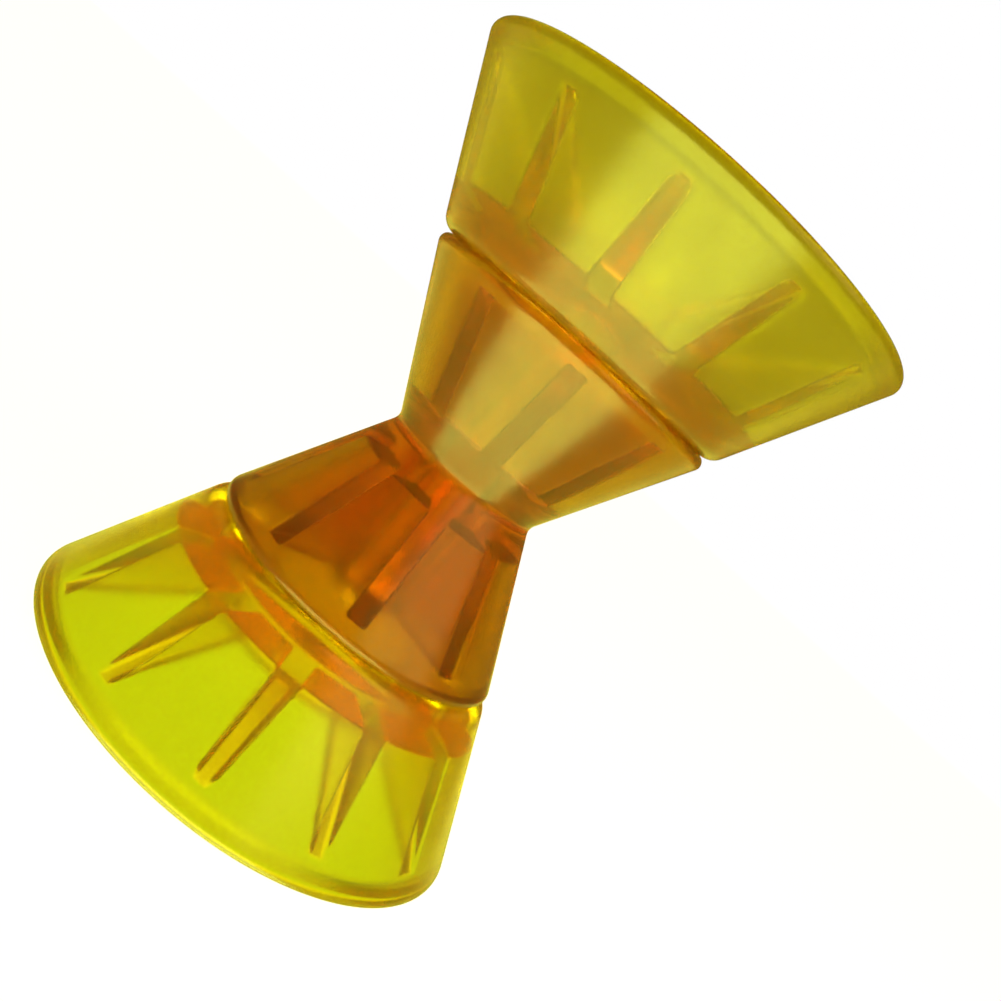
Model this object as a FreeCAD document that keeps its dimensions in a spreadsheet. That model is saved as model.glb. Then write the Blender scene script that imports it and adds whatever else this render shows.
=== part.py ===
import FreeCAD, Part
import os
import Sketcher

doc = FreeCAD.newDocument("boat_trailer_roller")

# Driving sizes, in millimetres and degrees: name, value, what it measures
driving_sizes = [
    ("shaft_dia", "12.7", "shaft that the roller turns on"),
    ("shaft_clearance", "0.6", "bore diameter less shaft diameter"),
    ("bore_chamfer", "1.0", "chamfer at each mouth of a bore"),
    ("face_gap", "0.2", "end float between the spool and a bell"),
    ("rib_bite", "1.4", "how far a rib runs into the wall that carries it"),
    ("spool_length", "76.2", "spool, end face to end face"),
    ("spool_end_dia", "80.0", "spool at its ends, before the edge is chamfered"),
    ("spool_edge_chamfer", "2.8", "chamfer on the outer edge of an end"),
    ("spool_waist_dia", "39.0", "spool at its waist, before the vee is chamfered"),
    ("spool_waist_chamfer", "0.86", "chamfer in the vee of the waist"),
    ("spool_mouth_dia", "65.0", "end cavity where it opens in the end face"),
    ("spool_floor_dia", "40.0", "end cavity at its floor"),
    ("spool_web", "18.0", "solid web between the two end cavities"),
    ("spool_hub_dia", "22.8", "hub round the bore"),
    ("spool_hub_setback", "1.0", "hub end below the end face"),
    ("spool_rib_setback", "3.0", "rib edge below the end face"),
    ("spool_rib_width", "4.3", "thickness of a spool rib"),
    ("spool_rib_count", "8", "ribs in each end of the spool"),
    ("bell_length", "39.1", "bell, nose face to rim face"),
    ("bell_nose_dia", "79.5", "bell at its nose, before the edge is rounded"),
    ("bell_nose_round", "4.4", "round on the edge of the nose, made in two steps"),
    ("bell_rim_dia", "119.3", "bell at its rim, before the edge is chamfered"),
    ("bell_rim_chamfer", "2.6", "chamfer on the outer edge of the rim"),
    ("bell_wall", "3.0", "cone wall, measured square to it"),
    ("bell_land", "4.5", "depth of the straight land inside the rim"),
    ("bell_plate", "10.0", "nose plate under the pockets"),
    ("bell_disc", "12.0", "nose plate round the bore"),
    ("bell_ring_inner_dia", "44.0", "stiffening ring, inside"),
    ("bell_ring_outer_dia", "56.0", "stiffening ring, outside"),
    ("bell_ring_height", "18.2", "end of the ring above the nose face"),
    ("bell_rib_drop", "0.6", "rib edge below the end of the ring, where they meet"),
    ("bell_rib_tip", "6.1", "rib tip below the rim face"),
    ("bell_rib_width", "5.3", "thickness of a bell rib at its foot"),
    ("bell_rib_draft", "1.9", "draft on each side of a bell rib, degrees"),
    ("bell_rib_count", "12", "ribs in a bell"),
    ("lower_bell_turn", "25.1", "a rib of the lower bell, turned from +X, degrees"),
    ("upper_bell_turn", "17.8", "a rib of the upper bell, turned from +X, degrees"),
]

# Sizes worked out from those: name, formula, what it measures
worked_sizes = [
    ("bore_rad", "(sizes.shaft_dia + sizes.shaft_clearance) / 2", "bore"),
    ("bore_mouth_rad", "bore_rad + sizes.bore_chamfer", "bore at its chamfered mouth"),
    ("spool_end_rad", "sizes.spool_end_dia / 2", "spool at its ends"),
    ("spool_waist_rad", "sizes.spool_waist_dia / 2", "spool at its waist"),
    ("spool_middle", "sizes.spool_length / 2", "height of the waist"),
    ("spool_mouth_rad", "sizes.spool_mouth_dia / 2", "cavity at the end face"),
    ("spool_floor_rad", "sizes.spool_floor_dia / 2", "cavity at its floor"),
    ("spool_near_floor", "(sizes.spool_length - sizes.spool_web) / 2", "lower floor"),
    ("spool_far_floor", "sizes.spool_length - spool_near_floor", "upper floor"),
    ("spool_taper", "(spool_mouth_rad - spool_floor_rad) / spool_near_floor",
     "cavity radius lost for each millimetre of depth"),
    ("spool_hub_rad", "sizes.spool_hub_dia / 2", "hub"),
    ("spool_bore_start", "sizes.spool_hub_setback + sizes.bore_chamfer", "straight bore"),
    ("spool_rib_inner", "(spool_hub_rad + bore_rad) / 2", "rib's root inside the hub"),
    ("spool_rib_outer",
     "spool_mouth_rad - sizes.spool_rib_setback * spool_taper + sizes.rib_bite",
     "rib's root inside the wall, at its open edge"),
    ("bell_nose_rad", "sizes.bell_nose_dia / 2", "bell at its nose"),
    ("bell_rim_rad", "sizes.bell_rim_dia / 2", "bell at its rim"),
    ("bell_taper", "(bell_rim_rad - bell_nose_rad) / sizes.bell_length",
     "bell radius gained for each millimetre of height"),
    ("nose_bend", "90 deg - atan(bell_taper)", "angle from the nose face to the cone"),
    ("nose_face_rad", "bell_nose_rad - sizes.bell_nose_round * tan(nose_bend / 2)",
     "flat of the nose face"),
    ("bell_apex_rad", "bell_nose_rad - sizes.bell_wall * sqrt(1 + bell_taper ^ 2)",
     "inner cone carried on down to the nose face"),
    ("bell_land_foot", "sizes.bell_length - sizes.bell_land", "height of the land's foot"),
    ("bell_land_rad", "bell_apex_rad + bell_taper * bell_land_foot", "straight land"),
    ("bell_floor_rad", "bell_apex_rad + bell_taper * sizes.bell_plate", "pocket floor"),
    ("ring_inner_rad", "sizes.bell_ring_inner_dia / 2", "ring, inside"),
    ("ring_outer_rad", "sizes.bell_ring_outer_dia / 2", "ring, outside"),
    ("rib_foot", "sizes.bell_plate - sizes.rib_bite", "rib's root inside the plate"),
    ("rib_high", "sizes.bell_length - sizes.bell_rib_tip", "rib's edge at the wall"),
    ("rib_low", "sizes.bell_ring_height - sizes.bell_rib_drop", "rib's edge at the ring"),
    ("rib_reach", "bell_apex_rad + bell_taper * rib_high", "radius where it meets the wall"),
    ("rib_rise", "(rib_high - rib_low) / (rib_reach - ring_outer_rad)", "slope of that edge"),
    ("rib_near", "(ring_inner_rad + ring_outer_rad) / 2", "rib's root inside the ring"),
    ("rib_near_top", "rib_low + rib_rise * (rib_near - ring_outer_rad)", "edge carried on to it"),
    ("rib_far", "rib_reach + sizes.rib_bite", "rib's root inside the wall, at its edge"),
    ("rib_far_foot", "bell_apex_rad + sizes.rib_bite", "the same on the nose face"),
    ("rib_foot_half", "sizes.bell_rib_width / 2 + sizes.rib_bite * tan(sizes.bell_rib_draft)",
     "half thickness at rib_foot"),
    ("spool_seat", "sizes.bell_length + sizes.face_gap", "height of the spool's lower end"),
    ("upper_seat", "spool_seat + sizes.spool_length + sizes.face_gap",
     "height of the upper bell's nose"),
]


def fill_sheet(name, rows, lead):
    sheet = doc.addObject("Spreadsheet::Sheet", name)
    for row, (alias, content, meaning) in enumerate(rows, start=1):
        sheet.setAlias(f"B{row}", alias)
        sheet.set(f"A{row}", meaning)
        sheet.set(f"B{row}", lead + content)
    doc.recompute()
    return sheet


sizes = fill_sheet("sizes", driving_sizes, "")
worked = fill_sheet("worked", worked_sizes, "=")


def origin_item(body, role):
    return [item for item in body.Origin.OriginFeatures if item.Role == role][0]


def draw_outlines(body, name, plane, outlines, distance=""):
    """Sketch of closed outlines whose corners are pairs of expressions, across and up."""
    sketch = body.newObject("Sketcher::SketchObject", name)
    sketch.AttachmentSupport = [(origin_item(body, plane), "")]
    sketch.MapMode = "FlatFace"
    if distance:
        sketch.setExpression("AttachmentOffset.Base.z", distance)
    for corners in outlines:
        first = sketch.GeometryCount
        points = [FreeCAD.Vector(sketch.evalExpression(across), sketch.evalExpression(up), 0)
                  for across, up in corners]
        for start, end in zip(points, points[1:] + points[:1]):
            sketch.addGeometry(Part.LineSegment(start, end), False)
        for step, (across, up) in enumerate(corners):
            line = first + step
            before = first + (step - 1) % len(corners)
            sketch.addConstraint(Sketcher.Constraint("Coincident", before, 2, line, 1))
            for kind, value, text in (("DistanceX", points[step].x, across),
                                      ("DistanceY", points[step].y, up)):
                index = sketch.addConstraint(Sketcher.Constraint(kind, -1, 1, line, 1, value))
                sketch.setExpression(f"Constraints[{index}]", text)
    doc.recompute()
    return sketch


def turn_profile(body, name, corners):
    """Solid turned about Z from a section in the XZ plane."""
    feature = body.newObject("PartDesign::Revolution", name)
    feature.Profile = draw_outlines(body, f"{name}_section", "XZ_Plane", [corners])
    feature.ReferenceAxis = (origin_item(body, "Z_Axis"), [""])
    feature.Angle = 360
    doc.recompute()
    return feature


def chamfer_circles(body, name, amount, circles):
    """Chamfer on the circles of the body that have the given radius and height."""
    base = body.Tip
    edges = []
    for circle_rad, height in circles:
        for index, edge in enumerate(base.Shape.Edges, start=1):
            curve = edge.Curve
            if not isinstance(curve, Part.Circle):
                continue
            if abs(curve.Radius - circle_rad) + abs(curve.Center.z - height) < 1e-4:
                edges.append(f"Edge{index}")
    if len(edges) < len(circles):
        raise RuntimeError(f"{name}: an edge to chamfer is missing")
    feature = body.newObject("PartDesign::Chamfer", name)
    feature.Base = (base, edges)
    feature.setExpression("Size", amount)
    doc.recompute()
    return feature


def repeat_round_axis(body, name, feature, count):
    pattern = body.newObject("PartDesign::PolarPattern", name)
    pattern.Originals = [feature]
    pattern.Axis = (origin_item(body, "Z_Axis"), [""])
    pattern.Angle = 360
    pattern.setExpression("Occurrences", count)
    body.Tip = pattern
    doc.recompute()
    return pattern


def build_spool(label):
    """Waisted spool: a cavity in each end with a hub and radial ribs, and a web between."""
    body = doc.addObject("PartDesign::Body", label)
    body.Label = label
    length = "sizes.spool_length"
    turn_profile(body, "spool_turned", [
        ("worked.bore_rad", "worked.spool_bore_start"),
        ("worked.bore_mouth_rad", "sizes.spool_hub_setback"),
        ("worked.spool_hub_rad", "sizes.spool_hub_setback"),
        ("worked.spool_hub_rad", "worked.spool_near_floor"),
        ("worked.spool_floor_rad", "worked.spool_near_floor"),
        ("worked.spool_mouth_rad", "0"),
        ("worked.spool_end_rad", "0"),
        ("worked.spool_waist_rad", "worked.spool_middle"),
        ("worked.spool_end_rad", length),
        ("worked.spool_mouth_rad", length),
        ("worked.spool_floor_rad", "worked.spool_far_floor"),
        ("worked.spool_hub_rad", "worked.spool_far_floor"),
        ("worked.spool_hub_rad", f"{length} - sizes.spool_hub_setback"),
        ("worked.bore_mouth_rad", f"{length} - sizes.spool_hub_setback"),
        ("worked.bore_rad", f"{length} - worked.spool_bore_start"),
    ])
    chamfer_circles(body, "spool_waist_chamfer", "sizes.spool_waist_chamfer",
                    [(worked.spool_waist_rad, worked.spool_middle)])
    chamfer_circles(body, "spool_edge_chamfer", "sizes.spool_edge_chamfer",
                    [(worked.spool_end_rad, height) for height in (0, sizes.spool_length)])
    near_rib = [
        ("worked.spool_rib_inner", "sizes.spool_rib_setback"),
        ("worked.spool_rib_outer", "sizes.spool_rib_setback"),
        ("worked.spool_floor_rad + sizes.rib_bite", "worked.spool_near_floor"),
        ("worked.spool_floor_rad", "worked.spool_near_floor + sizes.rib_bite"),
        ("worked.spool_rib_inner", "worked.spool_near_floor + sizes.rib_bite"),
    ]
    far_rib = [(across, f"{length} - ({up})") for across, up in near_rib]
    rib = body.newObject("PartDesign::Pad", "spool_rib")
    rib.Profile = draw_outlines(body, "spool_rib_outline", "XZ_Plane", [near_rib, far_rib])
    rib.SideType = "Symmetric"
    rib.setExpression("Length", "sizes.spool_rib_width")
    doc.recompute()
    repeat_round_axis(body, "spool_ribs", rib, "sizes.spool_rib_count")
    return body


def build_bell(label):
    """Bell with its nose on z = 0: a thin cone, a thick nose plate, a ring and radial ribs."""
    body = doc.addObject("PartDesign::Body", label)
    body.Label = label
    turn_profile(body, f"{label}_plate", [
        ("worked.bore_rad", "sizes.bore_chamfer"),
        ("worked.bore_mouth_rad", "0"),
        ("worked.bell_apex_rad", "0"),
        ("worked.bell_floor_rad", "sizes.bell_plate"),
        ("worked.rib_near", "sizes.bell_plate"),
        ("worked.rib_near", "sizes.bell_disc"),
        ("worked.bore_mouth_rad", "sizes.bell_disc"),
        ("worked.bore_rad", "sizes.bell_disc - sizes.bore_chamfer"),
    ])
    # Each rib starts as a drafted block from the ring to beyond the wall
    block = body.newObject("PartDesign::Pad", f"{label}_rib_block")
    block.Profile = draw_outlines(body, f"{label}_rib_outline", "XY_Plane", [[
        ("worked.rib_near", "-worked.rib_foot_half"),
        ("worked.bell_rim_rad", "-worked.rib_foot_half"),
        ("worked.bell_rim_rad", "worked.rib_foot_half"),
        ("worked.rib_near", "worked.rib_foot_half"),
    ]], "worked.rib_foot")
    block.setExpression("Length", "sizes.bell_length - worked.rib_foot")
    block.setExpression("TaperAngle", "-sizes.bell_rib_draft")
    doc.recompute()
    repeat_round_axis(body, f"{label}_rib_blocks", block, "sizes.bell_rib_count")
    trim = body.newObject("PartDesign::Groove", f"{label}_rib_trim")
    trim.Profile = draw_outlines(body, f"{label}_rib_trim_section", "XZ_Plane", [[
        ("worked.rib_near", "worked.rib_near_top"),
        ("worked.rib_reach", "worked.rib_high"),
        ("worked.rib_far", "worked.rib_high"),
        ("worked.rib_far_foot", "0"),
        ("worked.bell_rim_rad + sizes.rib_bite", "0"),
        ("worked.bell_rim_rad + sizes.rib_bite", "sizes.bell_length"),
        ("worked.rib_near", "sizes.bell_length"),
    ]])
    trim.ReferenceAxis = (origin_item(body, "Z_Axis"), [""])
    trim.Angle = 360
    doc.recompute()
    turn_profile(body, f"{label}_ring", [
        ("worked.ring_inner_rad", "worked.rib_foot"),
        ("worked.ring_outer_rad", "worked.rib_foot"),
        ("worked.ring_outer_rad", "sizes.bell_ring_height"),
        ("worked.ring_inner_rad", "sizes.bell_ring_height"),
    ])
    turn_profile(body, f"{label}_wall", [
        ("worked.bell_apex_rad", "0"),
        ("worked.nose_face_rad", "0"),
        ("worked.nose_face_rad + sizes.bell_nose_round * sin(worked.nose_bend / 2)",
         "sizes.bell_nose_round * (1 - cos(worked.nose_bend / 2))"),
        ("worked.nose_face_rad + sizes.bell_nose_round * sin(worked.nose_bend)",
         "sizes.bell_nose_round * (1 - cos(worked.nose_bend))"),
        ("worked.bell_rim_rad", "sizes.bell_length"),
        ("worked.bell_land_rad", "sizes.bell_length"),
        ("worked.bell_land_rad", "worked.bell_land_foot"),
    ])
    chamfer_circles(body, f"{label}_rim_chamfer", "sizes.bell_rim_chamfer",
                    [(worked.bell_rim_rad, sizes.bell_length)])
    return body


lower_bell = build_bell("lower_bell")
centre_spool = build_spool("centre_spool")
upper_bell = build_bell("upper_bell")

# The roller stands on the lower bell's rim, with its axis along Z
lower_bell.setExpression(
    "Placement",
    "placement(vector(0; 0; sizes.bell_length); rotation(sizes.lower_bell_turn; 0; 180))")
centre_spool.setExpression(
    "Placement", "placement(vector(0; 0; worked.spool_seat); rotation(0; 0; 0))")
upper_bell.setExpression(
    "Placement",
    "placement(vector(0; 0; worked.upper_seat); rotation(sizes.upper_bell_turn; 0; 0))")
doc.recompute()

for item in doc.Objects:
    if "Invalid" in item.State or "Error" in item.State:
        raise RuntimeError(f"{item.Name} failed: {item.State}")

os.makedirs("parts", exist_ok=True)
for body in (lower_bell, centre_spool, upper_bell):
    shape = body.Shape
    if shape.isNull() or not shape.isValid() or len(shape.Solids) != 1:
        raise RuntimeError(f"{body.Label} is not one valid solid")
    shape.exportStep(f"parts/{body.Label}.step")
    box = shape.optimalBoundingBox(False)
    print(f"{body.Label}: {shape.Volume / 1000:.2f} cm3, "
          f"{box.XLength:.2f} x {box.YLength:.2f} x {box.ZLength:.2f} mm, from z {box.ZMin:.2f}")
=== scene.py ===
import math

import bpy
from mathutils import Matrix, Vector


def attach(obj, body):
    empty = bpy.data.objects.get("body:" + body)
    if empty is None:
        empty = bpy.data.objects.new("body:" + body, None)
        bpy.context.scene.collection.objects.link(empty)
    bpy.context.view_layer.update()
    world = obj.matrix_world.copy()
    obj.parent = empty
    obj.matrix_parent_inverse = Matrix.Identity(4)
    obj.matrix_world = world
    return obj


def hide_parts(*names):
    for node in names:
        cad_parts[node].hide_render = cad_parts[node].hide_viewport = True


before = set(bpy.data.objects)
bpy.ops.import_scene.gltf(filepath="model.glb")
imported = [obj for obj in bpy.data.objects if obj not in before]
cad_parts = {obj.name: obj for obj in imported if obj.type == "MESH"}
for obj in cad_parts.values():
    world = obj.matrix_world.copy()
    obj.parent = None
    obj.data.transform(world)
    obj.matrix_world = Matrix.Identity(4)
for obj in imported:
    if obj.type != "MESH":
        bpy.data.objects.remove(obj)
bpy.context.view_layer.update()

mm = 0.001
noiseLow, noiseHigh = 0.35, 0.65  # the part of a noise's range that it mostly stays in
polyurethaneIor = 1.49


def linearColour(hexText, alpha=1.0):
    parts = [int(hexText[i:i + 2], 16) / 255 for i in (0, 2, 4)]
    return tuple(c / 12.92 if c <= 0.04045 else ((c + 0.055) / 1.055) ** 2.4 for c in parts) + (alpha,)


def addNode(tree, kind, inputs=None, **settings):
    node = tree.nodes.new(kind)
    for key, value in settings.items():
        setattr(node, key, value)
    for key, value in (inputs or {}).items():
        if isinstance(value, bpy.types.NodeSocket):
            tree.links.new(value, node.inputs[key])
        else:
            node.inputs[key].default_value = value
    return node


def makePolyurethane(name, look):
    # Cast polyurethane, clear amber through and through: thin walls pass lemon yellow, thick
    # ones orange and brown, and the blasted mould leaves a soft satin skin.
    material = bpy.data.materials.new(name)
    material.use_nodes = True
    tree = material.node_tree
    tree.nodes.clear()
    place = addNode(tree, "ShaderNodeTexCoord").outputs["Object"]
    grain = addNode(tree, "ShaderNodeTexNoise", {
        "Vector": place, "Scale": 1 / (look["grainMm"] * mm), "Detail": 1.0, "Roughness": 0.6})
    cloud = addNode(tree, "ShaderNodeTexNoise", {
        "Vector": place, "Scale": 1 / (look["cloudMm"] * mm), "Detail": 0.0})
    haze = addNode(tree, "ShaderNodeMapRange", {
        "Value": cloud.outputs["Fac"], "From Min": noiseLow, "From Max": noiseHigh,
        "To Min": look["roughness"][0], "To Max": look["roughness"][1]})
    skin = addNode(tree, "ShaderNodeBump", {
        "Height": grain.outputs["Fac"], "Strength": look["grainStrength"],
        "Distance": look["grainDepthMm"] * mm})
    speckle = addNode(tree, "ShaderNodeMapRange", {
        "Value": grain.outputs["Fac"], "From Min": noiseLow, "From Max": noiseHigh})
    tint = addNode(tree, "ShaderNodeValToRGB", {"Fac": speckle.outputs["Result"]})
    for element, colour in zip(tint.color_ramp.elements, (look["skinHex"], look["grainHex"])):
        element.color = linearColour(colour)
    shader = addNode(tree, "ShaderNodeBsdfPrincipled", {
        "Base Color": tint.outputs["Color"], "Roughness": haze.outputs["Result"],
        "Normal": skin.outputs["Normal"], "IOR": polyurethaneIor, "Specular IOR Level": look["shine"],
        "Transmission Weight": look["clear"]})
    inside = addNode(tree, "ShaderNodeVolumeAbsorption", {
        "Color": linearColour(look["bodyHex"]), "Density": look["density"]})
    addNode(tree, "ShaderNodeOutputMaterial", {
        "Surface": shader.outputs["BSDF"], "Volume": inside.outputs["Volume"]})
    return material


# The grain is drawn coarser than the real skin's, which is about 0.05 mm.
bellLook = {
    "skinHex": "FFFF58", "grainHex": "F8F050", "bodyHex": "FFFA00", "density": 420.0,
    "clear": 0.95, "roughness": (0.2, 0.245), "shine": 0.6, "cloudMm": 9.0,
    "grainMm": 0.5, "grainStrength": 0.5, "grainDepthMm": 0.04,
}
spoolLook = {
    "skinHex": "FFE044", "grainHex": "FFD03A", "bodyHex": "FDF500", "density": 420.0,
    "clear": 0.95, "roughness": (0.18, 0.24), "shine": 0.8, "cloudMm": 7.0,
    "grainMm": 0.5, "grainStrength": 0.6, "grainDepthMm": 0.05,
}
bellPlastic = makePolyurethane("polyurethaneYellowMoulded", bellLook)
spoolPlastic = makePolyurethane("polyurethaneAmberMoulded", spoolLook)
print("materials made")


def roundedOutline(corners, degreesPerStep=11.0, edgeLoop=0.35):
    # Corners are (radius, height, rounding) in millimetres, in order round the section.
    # Every straight run gets a point near each end, which keeps its shading flat.
    points = []
    count = len(corners)
    for index, (radius, height, rounding) in enumerate(corners):
        here = Vector((radius, height))
        before = Vector(corners[index - 1][:2]) - here
        after = Vector(corners[(index + 1) % count][:2]) - here
        toBefore, toAfter = before.normalized(), after.normalized()
        if rounding:
            half = toBefore.angle(toAfter) / 2
            reach = rounding / math.tan(half)
            centre = here + (toBefore + toAfter).normalized() * rounding / math.sin(half)
            start = here + toBefore * reach - centre
            sweep = math.pi - 2 * half
            end = here + toAfter * reach - centre
            turn = 1 if start.x * end.y - start.y * end.x > 0 else -1
            steps = max(2, round(math.degrees(sweep) / degreesPerStep))
            arc = []
            for step in range(steps + 1):
                angle = turn * sweep * step / steps
                arc.append(centre + Vector((start.x * math.cos(angle) - start.y * math.sin(angle),
                                            start.x * math.sin(angle) + start.y * math.cos(angle))))
        else:
            arc = [here]
        points.append(arc)
    outline = []
    for index, arc in enumerate(points):
        following = points[(index + 1) % count][0]
        outline.extend(arc)
        run = following - arc[-1]
        if run.length > 4 * edgeLoop:
            outline.append(arc[-1] + run.normalized() * edgeLoop)
            outline.append(following - run.normalized() * edgeLoop)
    return outline


def meshObject(name, vertices, edges=(), faces=()):
    mesh = bpy.data.meshes.new(name)
    mesh.from_pydata([tuple(v) for v in vertices], list(edges), list(faces))
    piece = bpy.data.objects.new(name, mesh)
    bpy.context.scene.collection.objects.link(piece)
    return piece


def makeMouldingTree():
    tree = bpy.data.node_groups.new("ribbedMoulding", "GeometryNodeTree")
    tree.is_modifier = True
    face = tree.interface
    face.new_socket("Section", in_out="INPUT", socket_type="NodeSocketGeometry")
    wanted = [("Rib", "NodeSocketObject"), ("Rib Count", "NodeSocketInt"),
              ("Turning Steps", "NodeSocketInt"), ("Path Radius", "NodeSocketFloat"),
              ("Plastic", "NodeSocketMaterial")]
    for name, kind in wanted:
        face.new_socket(name, in_out="INPUT", socket_type=kind)
    face.new_socket("Moulding", in_out="OUTPUT", socket_type="NodeSocketGeometry")
    given = addNode(tree, "NodeGroupInput").outputs
    outline = addNode(tree, "GeometryNodeMeshToCurve", {"Mesh": given["Section"]})
    path = addNode(tree, "GeometryNodeCurvePrimitiveCircle", {
        "Resolution": given["Turning Steps"], "Radius": given["Path Radius"]})
    turned = addNode(tree, "GeometryNodeCurveToMesh", {
        "Curve": path.outputs["Curve"], "Profile Curve": outline.outputs["Curve"]})
    rib = addNode(tree, "GeometryNodeObjectInfo", {"Object": given["Rib"]})
    places = addNode(tree, "GeometryNodePoints", {"Count": given["Rib Count"]})
    index = addNode(tree, "GeometryNodeInputIndex").outputs["Index"]
    pitch = addNode(tree, "ShaderNodeMath", {0: math.tau, 1: given["Rib Count"]}, operation="DIVIDE")
    angle = addNode(tree, "ShaderNodeMath", {0: index, 1: pitch.outputs[0]}, operation="MULTIPLY")
    turn = addNode(tree, "ShaderNodeCombineXYZ", {"Z": angle.outputs[0]})
    copies = addNode(tree, "GeometryNodeInstanceOnPoints", {
        "Points": places.outputs["Points"], "Instance": rib.outputs["Geometry"],
        "Rotation": turn.outputs["Vector"]})
    ribs = addNode(tree, "GeometryNodeRealizeInstances", {"Geometry": copies.outputs["Instances"]})
    joined = addNode(tree, "GeometryNodeMeshBoolean", operation="UNION", solver="EXACT")
    for part in (turned.outputs["Mesh"], ribs.outputs["Geometry"]):
        tree.links.new(part, joined.inputs["Mesh 2"])
    whole = addNode(tree, "GeometryNodeRealizeInstances", {"Geometry": joined.outputs["Mesh"]})
    coated = addNode(tree, "GeometryNodeSetMaterial", {
        "Geometry": whole.outputs["Geometry"], "Material": given["Plastic"]})
    addNode(tree, "NodeGroupOutput", {"Moulding": coated.outputs["Geometry"]})
    return tree


mouldingTree = makeMouldingTree()
pathRadius = 10.0  # of the circle that a section is swept round, millimetres
turningSteps = 192
sharpAngle = 38.0


def makeMoulding(name, corners, ribMesh, ribCount, plastic, placement):
    outline = roundedOutline(corners)[::-1]
    # Curve to Mesh stands the section's y along the axis, downwards
    section = meshObject(f"{name}_section",
                         [((p.x - pathRadius) * mm, -p.y * mm, 0) for p in outline],
                         edges=[(i, (i + 1) % len(outline)) for i in range(len(outline))])
    rib = meshObject(f"{name}_rib", *ribMesh)
    shaper = section.modifiers.new("moulding", "NODES")
    shaper.node_group = mouldingTree
    sockets = {item.name: item.identifier for item in mouldingTree.interface.items_tree
               if item.item_type == "SOCKET" and item.in_out == "INPUT"}
    for label, value in (("Rib", rib), ("Rib Count", ribCount), ("Turning Steps", turningSteps),
                         ("Path Radius", pathRadius * mm), ("Plastic", plastic)):
        shaper[sockets[label]] = value
    bpy.context.view_layer.update()
    solid = bpy.data.meshes.new_from_object(
        section.evaluated_get(bpy.context.evaluated_depsgraph_get()))
    section.modifiers.remove(shaper)
    for spent in (section, rib):
        bpy.data.objects.remove(spent)
    solid.transform(placement)
    solid.shade_smooth()
    solid.set_sharp_from_angle(angle=math.radians(sharpAngle))
    piece = bpy.data.objects.new(name, solid)
    bpy.context.scene.collection.objects.link(piece)
    print(f"{name}: {len(solid.polygons)} faces")
    return piece


def rootFlare(distance, radius, sink=0.12):
    # How much a rib thickens as it comes near the wall it springs from.
    depth = min(max(distance + sink, 0.0), radius)
    return radius - math.sqrt(radius ** 2 - (radius - depth) ** 2)


def edgeRound(distance, radius):
    # How much a rib loses near its free edge.
    depth = min(max(distance, 0.0), radius)
    return radius - math.sqrt(radius ** 2 - (radius - depth) ** 2)


def ribFromGrid(columns):
    # Each column is a list of (x, z, half thickness). Both sides, the free edge, the foot and
    # the two ends close into one solid. The first entry of a column is at the foot.
    rows = len(columns[0])
    vertices = []
    for side in (1, -1):
        for column in columns:
            vertices.extend((x * mm, side * half * mm, z * mm) for x, z, half in column)
    offset = len(columns) * rows
    faces = []
    for i in range(len(columns) - 1):
        for j in range(rows - 1):
            a, b = i * rows + j, (i + 1) * rows + j
            faces.append((a, a + 1, b + 1, b))
            faces.append((offset + a, offset + b, offset + b + 1, offset + a + 1))
        foot, top = i * rows, i * rows + rows - 1
        faces.append((foot, foot + rows, offset + foot + rows, offset + foot))
        faces.append((top, offset + top, offset + top + rows, top + rows))
    last = (len(columns) - 1) * rows
    for j in range(rows - 1):
        faces.append((j, offset + j, offset + j + 1, j + 1))
        faces.append((last + j, last + j + 1, offset + last + j + 1, offset + last + j))
    return vertices, faces


bellSizes = {  # millimetres and degrees
    "length": 39.1, "noseRadius": 39.75, "noseRound": 4.4, "rimRadius": 59.65, "rimRound": 1.9,
    "wall": 3.0, "land": 4.5, "landRound": 0.8, "landFoot": 3.0, "plate": 10.0, "disc": 12.0,
    "footRound": 1.0,
    "ringInner": 22.0, "ringOuter": 28.0, "ringHeight": 18.2, "ringRound": 0.6,
    "ribDrop": 0.6, "ribTip": 6.1, "ribWidth": 5.3, "ribDraft": 1.9, "ribBite": 1.4,
    "ribRoot": 1.1, "ribEdge": 1.2, "ribCount": 12, "bore": 6.65, "chamfer": 1.0,
}


def bellSection(size):
    taper = (size["rimRadius"] - size["noseRadius"]) / size["length"]
    apex = size["noseRadius"] - size["wall"] * math.hypot(1, taper)
    landFoot = size["length"] - size["land"]
    landRadius = apex + taper * landFoot
    mouth = size["bore"] + size["chamfer"]
    return [
        (size["bore"], size["chamfer"], 0),
        (mouth, 0, 0),
        (size["noseRadius"], 0, size["noseRound"]),
        (size["rimRadius"], size["length"], size["rimRound"]),
        (landRadius, size["length"], size["landRound"]),
        (landRadius, landFoot, size["landFoot"]),
        (apex + taper * size["plate"], size["plate"], size["footRound"]),
        (size["ringOuter"], size["plate"], size["footRound"]),
        (size["ringOuter"], size["ringHeight"], size["ringRound"]),
        (size["ringInner"], size["ringHeight"], size["ringRound"]),
        (size["ringInner"], size["disc"], size["footRound"]),
        (mouth, size["disc"], 0),
        (size["bore"], size["disc"] - size["chamfer"], 0),
    ]


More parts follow.
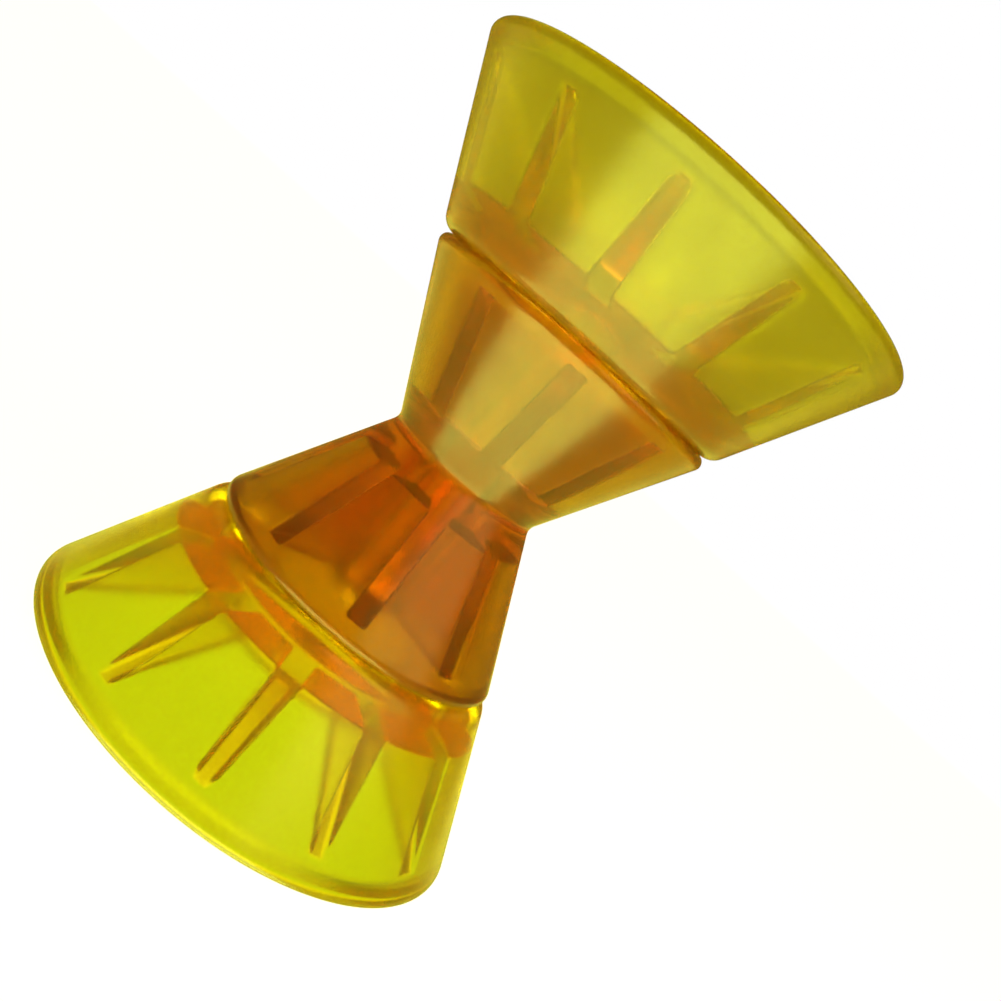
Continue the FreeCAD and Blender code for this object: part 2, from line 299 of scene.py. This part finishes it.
def bellRib(size):
    taper = (size["rimRadius"] - size["noseRadius"]) / size["length"]
    apex = size["noseRadius"] - size["wall"] * math.hypot(1, taper)
    square = 1 / math.hypot(1, taper)
    high = size["length"] - size["ribTip"]
    low = size["ringHeight"] - size["ribDrop"]
    reach = apex + taper * high
    rise = (high - low) / (reach - size["ringOuter"])
    squareEdge = 1 / math.hypot(1, rise)
    bend = apex + taper * size["plate"] + size["ribBite"]
    near = (size["ringInner"] + size["ringOuter"]) / 2
    far = reach + size["ribBite"]
    lean = math.tan(math.radians(size["ribDraft"]))
    # Close to the ring the columns crowd together, for the fillet between rib and ring.
    ring, lastFlare, bendClear = size["ringOuter"], 2.0, 1.0
    inward, outward, rows = 14, 22, 34
    stops = [near, ring - 0.15] + [ring + step for step in (0.0, 0.15, 0.35, 0.65, 1.1, lastFlare)]
    stops += [ring + lastFlare + (bend - ring - lastFlare - bendClear) * k / inward
              for k in range(1, inward + 1)]
    stops += [bend + (far - bend) * k / outward for k in range(outward + 1)]
    columns = []
    for x in stops:
        bottom = size["plate"] - size["ribBite"] + max(0.0, (x - bend) / taper)
        top = low + rise * (x - size["ringOuter"])
        column = []
        for step in range(rows):
            share = step / (rows - 1)
            z = bottom + (top - bottom) * (0.5 - 0.5 * math.cos(math.pi * share))
            half = size["ribWidth"] / 2 - lean * (z - size["plate"])
            toPlate = z - size["plate"]
            toWall = (apex + taper * z - x) * square
            toRing = x - size["ringOuter"] if z < size["ringHeight"] else size["ribRoot"]
            nearest = min(toPlate, toWall, toRing)
            half += rootFlare(nearest, size["ribRoot"])
            half -= edgeRound((top - z) * squareEdge, size["ribEdge"])
            column.append((x, z, half))
        columns.append(column)
    return ribFromGrid(columns)


def makeBell(name, placement):
    vertices, faces = bellRib(bellSizes)
    return makeMoulding(name, bellSection(bellSizes), (vertices, (), faces),
                        bellSizes["ribCount"], bellPlastic, placement)


spoolSizes = {  # millimetres
    "length": 76.2, "endRadius": 40.0, "endRound": 2.0, "waistRadius": 19.5, "waistRound": 3.0,
    "mouthRadius": 32.5, "mouthRound": 0.8, "floorRadius": 20.0, "web": 18.0, "footRound": 1.0,
    "hubRadius": 11.3, "hubFoot": 11.4, "hubSetback": 1.0, "bore": 6.65, "chamfer": 1.0,
    "ribSetback": 3.0, "ribWidth": 4.3, "ribBite": 1.4, "ribRoot": 1.0, "ribEdge": 0.8,
    "ribCount": 8,
}


def spoolSection(size):
    floor = (size["length"] - size["web"]) / 2
    mouth = size["bore"] + size["chamfer"]
    start = size["hubSetback"] + size["chamfer"]
    near = [
        (size["bore"], start, 0),
        (mouth, size["hubSetback"], 0),
        (size["hubRadius"], size["hubSetback"], 0.4),
        (size["hubFoot"], floor, size["footRound"]),
        (size["floorRadius"], floor, size["footRound"]),
        (size["mouthRadius"], 0, size["mouthRound"]),
        (size["endRadius"], 0, size["endRound"]),
    ]
    waist = [(size["waistRadius"], size["length"] / 2, size["waistRound"])]
    far = [(radius, size["length"] - height, rounding) for radius, height, rounding in near]
    return near + waist + far[::-1]


def spoolRibs(size):
    floor = (size["length"] - size["web"]) / 2
    taper = (size["mouthRadius"] - size["floorRadius"]) / floor
    square = 1 / math.hypot(1, taper)
    hubTaper = (size["hubFoot"] - size["hubRadius"]) / floor
    inner = (size["hubRadius"] + size["bore"]) / 2
    rows, stops = 26, 30
    columns = []
    for stop in range(stops):
        across = 0.5 - 0.5 * math.cos(math.pi * stop / (stops - 1))
        column = []
        for step in range(rows):
            share = 0.5 - 0.5 * math.cos(math.pi * step / (rows - 1))
            z = floor + size["ribBite"] + (size["ribSetback"] - floor - size["ribBite"]) * share
            wall = size["mouthRadius"] - taper * min(z, floor)
            x = inner + (wall + size["ribBite"] - inner) * across
            nearest = min(floor - z, (wall - x) * square, x - size["hubRadius"] - hubTaper * z)
            half = size["ribWidth"] / 2 + rootFlare(nearest, size["ribRoot"])
            half -= edgeRound(z - size["ribSetback"], size["ribEdge"])
            column.append((x, z, half))
        columns.append(column)
    vertices, faces = ribFromGrid(columns)
    # The same rib stands in the other end, so its faces are turned over.
    mirrored = [(x, y, size["length"] * mm - z) for x, y, z in vertices]
    faces = [tuple(reversed(f)) for f in faces]
    other = [tuple(i + len(vertices) for i in reversed(f)) for f in faces]
    return vertices + mirrored, faces + other


faceGap = 0.2
spoolSeat = bellSizes["length"] + faceGap
upperSeat = spoolSeat + spoolSizes["length"] + faceGap


def placedAt(height, turn, flipped=False):
    flip = Matrix.Rotation(math.pi, 4, "X") if flipped else Matrix.Identity(4)
    lift = Matrix.Translation((0, 0, height * mm))
    return lift @ Matrix.Rotation(math.radians(turn), 4, "Z") @ flip


lowerBell = makeBell("lowerBellMoulding", placedAt(bellSizes["length"], 25.1, flipped=True))
upperBell = makeBell("upperBellMoulding", placedAt(upperSeat, 17.8))
ribVertices, ribFaces = spoolRibs(spoolSizes)
spool = makeMoulding("spoolMoulding", spoolSection(spoolSizes), (ribVertices, (), ribFaces),
                     spoolSizes["ribCount"], spoolPlastic, placedAt(spoolSeat, 0))
print("pieces made")

for piece, node, finish in ((lowerBell, "lower_bell", "bell_plastic"),
                            (spool, "centre_spool", "spool_plastic"),
                            (upperBell, "upper_bell", "bell_plastic")):
    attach(piece, node)
    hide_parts(node)

studio = {
    "tableSeen": 0.95, "tableGlow": 0.45, "tableSkinHex": "F4F4F2", "tableSize": 6.0,
    "tableDrop": 0.0003,
    "seen": 1.0,
    "sky": [  # height of the direction, from -1 straight down to 1 straight up, and colour
        (-1.0, "CDD15B"), (-0.6, "C9D450"), (-0.4, "C2D84A"), (-0.3, "E4E854"), (-0.2, "FFF860"),
        (-0.14, "E0D048"), (-0.08, "8C722A"), (0.06, "927926"), (0.24, "887926"), (0.36, "857626"),
        (0.55, "BEBA40"), (0.7, "766622"), (1.0, "6A5F22"),
    ],
    "frontShade": 0.1, "backGlow": 1.12, "frontDepth": -0.4, "backDepth": 0.9,
    "softboxes": {  # place in metres, power in watts, side in metres, colour
        "topSoftbox": ((0.42, -0.38, 0.6), 2.8, 0.7, "FFE47C"),
        "lowSoftbox": ((-0.02, -0.38, -0.55), 22.0, 1.1, "EAFF74"),
    },
}


def makeTable(look):
    # Opal acrylic light table, pale and lit from beneath
    half, drop = look["tableSize"] / 2, look["tableDrop"]
    corners = [(-half, -half, -drop), (half, -half, -drop), (half, half, -drop), (-half, half, -drop)]
    table = meshObject("lightTable", corners, faces=[(0, 1, 2, 3)])
    opal = bpy.data.materials.new("opalAcrylicTable")
    opal.use_nodes = True
    tree = opal.node_tree
    tree.nodes.clear()
    ray = addNode(tree, "ShaderNodeLightPath").outputs["Is Camera Ray"]
    glow = addNode(tree, "ShaderNodeMapRange", {
        "Value": ray, "To Min": look["tableGlow"], "To Max": look["tableSeen"]})
    shader = addNode(tree, "ShaderNodeBsdfPrincipled", {
        "Base Color": linearColour(look["tableSkinHex"]), "Roughness": 0.6,
        "Emission Color": linearColour("FFFFFF"), "Emission Strength": glow.outputs["Result"]})
    addNode(tree, "ShaderNodeOutputMaterial", {"Surface": shader.outputs["BSDF"]})
    table.data.materials.append(opal)
    opal.cycles.emission_sampling = "NONE"
    # Light from beneath comes through the table to the roller
    table.visible_glossy = table.visible_transmission = table.visible_shadow = False
    return table


def makeWorld(look):
    # The camera sees plain white. The roller sees a softly graded studio.
    world = bpy.data.worlds.new("whiteStudio")
    world.use_nodes = True
    tree = world.node_tree
    tree.nodes.clear()
    direction = addNode(tree, "ShaderNodeTexCoord").outputs["Generated"]
    axes = addNode(tree, "ShaderNodeSeparateXYZ", {"Vector": direction}).outputs
    share = addNode(tree, "ShaderNodeMapRange", {
        "Value": axes["Z"], "From Min": -1.0, "From Max": 1.0, "To Min": 0.0, "To Max": 1.0})
    depth = addNode(tree, "ShaderNodeMapRange", {
        "Value": axes["Y"], "From Min": look["frontDepth"], "From Max": look["backDepth"],
        "To Min": look["frontShade"],
        "To Max": look["backGlow"]}, interpolation_type="SMOOTHSTEP")
    grade = addNode(tree, "ShaderNodeValToRGB", {"Fac": share.outputs["Result"]})
    ramp = grade.color_ramp
    for _ in look["sky"][2:]:
        ramp.elements.new(0.5)
    for element, (height, colour) in zip(ramp.elements, look["sky"]):
        element.position = (height + 1) / 2
        element.color = linearColour(colour)
    roller = addNode(tree, "ShaderNodeBackground", {
        "Color": grade.outputs["Color"], "Strength": depth.outputs["Result"]})
    seen = addNode(tree, "ShaderNodeBackground", {"Color": (1, 1, 1, 1), "Strength": look["seen"]})
    ray = addNode(tree, "ShaderNodeLightPath").outputs["Is Camera Ray"]
    mixed = addNode(tree, "ShaderNodeMixShader", {
        0: ray, 1: roller.outputs["Background"], 2: seen.outputs["Background"]})
    addNode(tree, "ShaderNodeOutputWorld", {"Surface": mixed.outputs["Shader"]})
    world.cycles.sampling_method = "NONE"
    bpy.context.scene.world = world


rollerMiddle = Vector((0, 0, 0.077))


def makeSoftbox(name, place, power, size, colour):
    box = bpy.data.lights.new(name, "AREA")
    box.shape = "SQUARE"
    box.size = size
    box.energy = power
    box.color = linearColour(colour)[:3]
    lamp = bpy.data.objects.new(name, box)
    lamp.location = place
    lamp.rotation_mode = "QUATERNION"
    lamp.rotation_quaternion = (rollerMiddle - Vector(place)).to_track_quat("-Z", "Y")
    lamp.visible_camera = False
    bpy.context.scene.collection.objects.link(lamp)
    return lamp


camera = {  # millimetres, and the direction that points right in the picture
    "place": (-27.48, -245.0, 109.4), "aim": (10.37, -1.61, 77.89), "right": (0.7484, -0.0306, 0.6625),
    "lens": 38.92, "sensor": 36.0, "clipStart": 10.0,
}


def makeCamera(view):
    lens = bpy.data.cameras.new("camera")
    lens.sensor_width = view["sensor"]
    lens.lens = view["lens"]
    lens.clip_start = view["clipStart"] * mm
    eye = bpy.data.objects.new("camera", lens)
    back = (Vector(view["place"]) - Vector(view["aim"])).normalized()
    right = Vector(view["right"])
    right = (right - back * right.dot(back)).normalized()
    up = back.cross(right)
    eye.matrix_world = Matrix.Translation(Vector(view["place"]) * mm) @ Matrix(
        (right, up, back)).transposed().to_4x4()
    bpy.context.scene.collection.objects.link(eye)
    bpy.context.scene.camera = eye
    return eye


makeTable(studio)
makeWorld(studio)
makeCamera(camera)
for name, settings in studio["softboxes"].items():
    makeSoftbox(name, *settings)

scene = bpy.context.scene
scene.view_settings.view_transform = "Standard"
scene.view_settings.look = "None"
scene.cycles.max_bounces = 13
scene.cycles.transmission_bounces = 13
scene.cycles.glossy_bounces = 12
scene.cycles.diffuse_bounces = 4
scene.cycles.adaptive_threshold = 0.1
scene.cycles.use_light_tree = False
scene.cycles.denoising_input_passes = "RGB_ALBEDO"
print("studio made")
